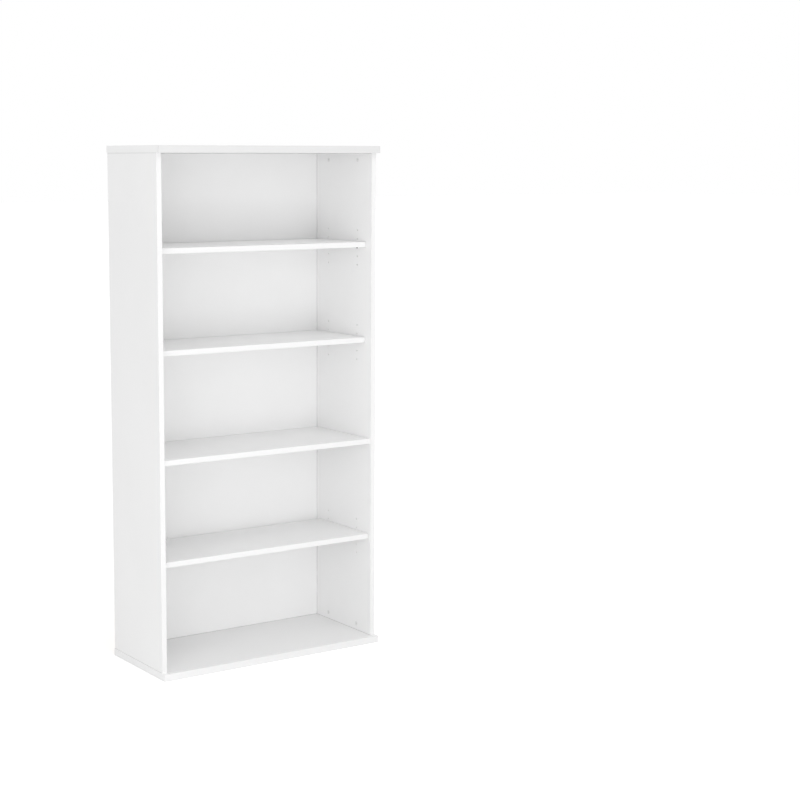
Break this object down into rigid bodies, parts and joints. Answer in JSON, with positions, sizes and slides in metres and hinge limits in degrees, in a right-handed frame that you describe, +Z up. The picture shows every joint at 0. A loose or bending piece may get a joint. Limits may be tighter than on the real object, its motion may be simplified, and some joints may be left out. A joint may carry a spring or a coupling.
{
  "type": "bookcase with adjustable shelves",
  "caption": "Tall open-front bookcase of white laminated board: thick top and base, fixed middle shelf, loose adjustable shelves on metal pins, thin nailed back.",
  "frame": {"origin": "bottom centre of the whole case, on the floor", "axes": "+Z up; the open front faces -Y and the back panel is at +Y; +X to the right as seen from the front"},
  "size_m": [0.906, 0.39, 1.849],
  "materials": {
    "white_laminate": "white melamine laminate on particleboard, satin, very fine texture",
    "edge_band": "white plastic edge banding, satin, long edges rounded",
    "back_board": "white foil-faced fibreboard, bare brown on the rear",
    "pin_nickel": "steel with a dark nickel plate, satin, worn",
    "cam_coated": "die-cast zinc with a white coat, bare grey zinc in the driver slot",
    "bolt_steel": "zinc-plated steel, slightly yellow",
    "dowel_beech": "bare beech",
    "nail_steel": "bright steel wire nail"
  },
  "bodies": {
    "case": {"top_panel": "white_laminate", "base_panel": "white_laminate", "left_side_panel": "white_laminate", "right_side_panel": "white_laminate", "back_panel": "back_board", "middle_shelf": "white_laminate", "top_front_band": "edge_band", "top_left_end_band": "edge_band", "top_right_end_band": "edge_band", "base_front_band": "edge_band", "base_left_end_band": "edge_band", "base_right_end_band": "edge_band", "left_side_band": "edge_band", "right_side_band": "edge_band", "middle_shelf_band": "edge_band", "top_cam_locks": "cam_coated", "top_cam_bolts": "bolt_steel", "top_dowels": "dowel_beech", "base_cam_locks": "cam_coated", "base_cam_bolts": "bolt_steel", "base_dowels": "dowel_beech", "middle_shelf_cam_locks": "cam_coated", "middle_shelf_cam_bolts": "bolt_steel", "middle_shelf_dowels": "dowel_beech", "back_panel_nails": "nail_steel"},
    "upper_shelf": {"upper_shelf": "white_laminate", "upper_shelf_band": "edge_band"},
    "second_shelf": {"second_shelf": "white_laminate", "second_shelf_band": "edge_band"},
    "lower_shelf": {"lower_shelf": "white_laminate", "lower_shelf_band": "edge_band"},
    "upper_shelf_pin_front_left": {"upper_shelf_pin_front_left": "pin_nickel"},
    "upper_shelf_pin_front_right": {"upper_shelf_pin_front_right": "pin_nickel"},
    "upper_shelf_pin_rear_left": {"upper_shelf_pin_rear_left": "pin_nickel"},
    "upper_shelf_pin_rear_right": {"upper_shelf_pin_rear_right": "pin_nickel"},
    "second_shelf_pin_front_left": {"second_shelf_pin_front_left": "pin_nickel"},
    "second_shelf_pin_front_right": {"second_shelf_pin_front_right": "pin_nickel"},
    "second_shelf_pin_rear_left": {"second_shelf_pin_rear_left": "pin_nickel"},
    "second_shelf_pin_rear_right": {"second_shelf_pin_rear_right": "pin_nickel"},
    "lower_shelf_pin_front_left": {"lower_shelf_pin_front_left": "pin_nickel"},
    "lower_shelf_pin_front_right": {"lower_shelf_pin_front_right": "pin_nickel"},
    "lower_shelf_pin_rear_left": {"lower_shelf_pin_rear_left": "pin_nickel"},
    "lower_shelf_pin_rear_right": {"lower_shelf_pin_rear_right": "pin_nickel"}
  },
  "joints": [
    {"name": "upper_shelf_lift", "type": "slide", "parent": "case", "child": "upper_shelf", "axis": [0, 0, 1], "range_m": [0, 0.064]},
    {"name": "second_shelf_lift", "type": "slide", "parent": "case", "child": "second_shelf", "axis": [0, 0, 1], "range_m": [0, 0.064]},
    {"name": "lower_shelf_lift", "type": "slide", "parent": "case", "child": "lower_shelf", "axis": [0, 0, 1], "range_m": [0, 0.064]},
    {"name": "upper_shelf_pin_front_left_pull", "type": "slide", "parent": "case", "child": "upper_shelf_pin_front_left", "axis": [1, 0, 0], "range_m": [0, 0.01]},
    {"name": "upper_shelf_pin_front_right_pull", "type": "slide", "parent": "case", "child": "upper_shelf_pin_front_right", "axis": [-1, 0, 0], "range_m": [0, 0.01]},
    {"name": "upper_shelf_pin_rear_left_pull", "type": "slide", "parent": "case", "child": "upper_shelf_pin_rear_left", "axis": [1, 0, 0], "range_m": [0, 0.01]},
    {"name": "upper_shelf_pin_rear_right_pull", "type": "slide", "parent": "case", "child": "upper_shelf_pin_rear_right", "axis": [-1, 0, 0], "range_m": [0, 0.01]},
    {"name": "second_shelf_pin_front_left_pull", "type": "slide", "parent": "case", "child": "second_shelf_pin_front_left", "axis": [1, 0, 0], "range_m": [0, 0.01]},
    {"name": "second_shelf_pin_front_right_pull", "type": "slide", "parent": "case", "child": "second_shelf_pin_front_right", "axis": [-1, 0, 0], "range_m": [0, 0.01]},
    {"name": "second_shelf_pin_rear_left_pull", "type": "slide", "parent": "case", "child": "second_shelf_pin_rear_left", "axis": [1, 0, 0], "range_m": [0, 0.01]},
    {"name": "second_shelf_pin_rear_right_pull", "type": "slide", "parent": "case", "child": "second_shelf_pin_rear_right", "axis": [-1, 0, 0], "range_m": [0, 0.01]},
    {"name": "lower_shelf_pin_front_left_pull", "type": "slide", "parent": "case", "child": "lower_shelf_pin_front_left", "axis": [1, 0, 0], "range_m": [0, 0.01]},
    {"name": "lower_shelf_pin_front_right_pull", "type": "slide", "parent": "case", "child": "lower_shelf_pin_front_right", "axis": [-1, 0, 0], "range_m": [0, 0.01]},
    {"name": "lower_shelf_pin_rear_left_pull", "type": "slide", "parent": "case", "child": "lower_shelf_pin_rear_left", "axis": [1, 0, 0], "range_m": [0, 0.01]},
    {"name": "lower_shelf_pin_rear_right_pull", "type": "slide", "parent": "case", "child": "lower_shelf_pin_rear_right", "axis": [-1, 0, 0], "range_m": [0, 0.01]}
  ]
}
